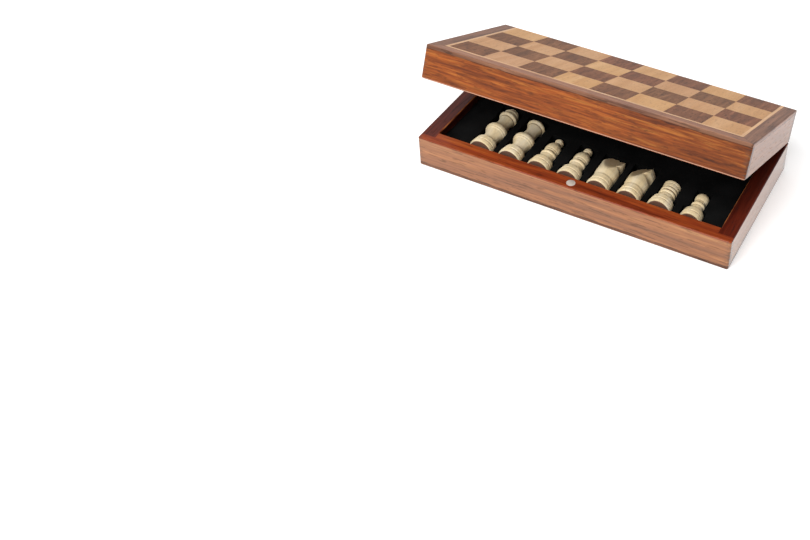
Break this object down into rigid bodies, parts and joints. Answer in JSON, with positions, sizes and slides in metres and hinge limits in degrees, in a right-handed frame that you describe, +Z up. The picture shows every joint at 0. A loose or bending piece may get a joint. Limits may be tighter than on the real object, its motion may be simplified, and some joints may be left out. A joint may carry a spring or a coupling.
{
  "type": "chess box with hinged lid",
  "caption": "Folding wooden chess box: hinged halves carry the chequered playing field outside and store turned chessmen in fitted foam pockets inside.",
  "frame": {"origin": "middle of the tray's underside, the face it rests on, halfway along the length and halfway from the front face to the back face", "axes": "+X along the box's length, to the right when the front is faced; +Y from the front face to the hinges; +Z up, out of the tray's rim"},
  "size_m": [0.222, 0.1198, 0.0865],
  "materials": {
    "glossy_mahogany": "clear gloss lacquer over red-brown hardwood",
    "walnut_border": "satin lacquer",
    "walnut_veneer": "satin lacquer, fine pores",
    "beech_veneer": "satin lacquer, fine flecks",
    "maple_line": "satin lacquer",
    "plywood": "unfinished",
    "boxwood": "turned and lacquered",
    "stained_redwood": "turned, stained and gloss lacquered",
    "brown_felt": "pressed felt",
    "black_foam": "closed-cell foam with a flocked face",
    "nickel_magnet": "nickel plated",
    "brass_hinge": "drawn brass strip, brushed",
    "brass_screw": "turned",
    "steel_pin": "drawn wire"
  },
  "bodies": {
    "tray": {"hinge_pins": "steel_pin", "tray_back_wall": "glossy_mahogany", "tray_border_strips": "walnut_border", "tray_dark_squares": "walnut_veneer", "tray_front_wall": "glossy_mahogany", "tray_hinge_leaves": "brass_hinge", "tray_hinge_screws": "brass_screw", "tray_inlay_lines": "maple_line", "tray_insert": "black_foam", "tray_left_wall": "glossy_mahogany", "tray_light_squares": "beech_veneer", "tray_magnet": "nickel_magnet", "tray_panel": "plywood", "tray_right_wall": "glossy_mahogany", "white_bishop_1": "boxwood", "white_bishop_2": "boxwood", "white_felts": "brown_felt", "white_king": "boxwood", "white_knight_1": "boxwood", "white_knight_2": "boxwood", "white_pawns": "boxwood", "white_queen": "boxwood", "white_rook_1": "boxwood", "white_rook_2": "boxwood"},
    "lid": {"dark_bishop_1": "stained_redwood", "dark_bishop_2": "stained_redwood", "dark_felts": "brown_felt", "dark_king": "stained_redwood", "dark_knight_1": "stained_redwood", "dark_knight_2": "stained_redwood", "dark_pawns": "stained_redwood", "dark_queen": "stained_redwood", "dark_rook_1": "stained_redwood", "dark_rook_2": "stained_redwood", "lid_back_wall": "glossy_mahogany", "lid_border_strips": "walnut_border", "lid_dark_squares": "walnut_veneer", "lid_front_wall": "glossy_mahogany", "lid_hinge_leaves": "brass_hinge", "lid_hinge_screws": "brass_screw", "lid_inlay_lines": "maple_line", "lid_insert": "black_foam", "lid_left_wall": "glossy_mahogany", "lid_light_squares": "beech_veneer", "lid_magnet": "nickel_magnet", "lid_panel": "plywood", "lid_right_wall": "glossy_mahogany"}
  },
  "joints": [
    {"name": "lid_hinge", "type": "hinge", "parent": "tray", "child": "lid", "pos_m": [0, 0.0557, 0.02295], "axis": [-1, 0, 0], "range_deg": [-22.5, 157.5]}
  ]
}
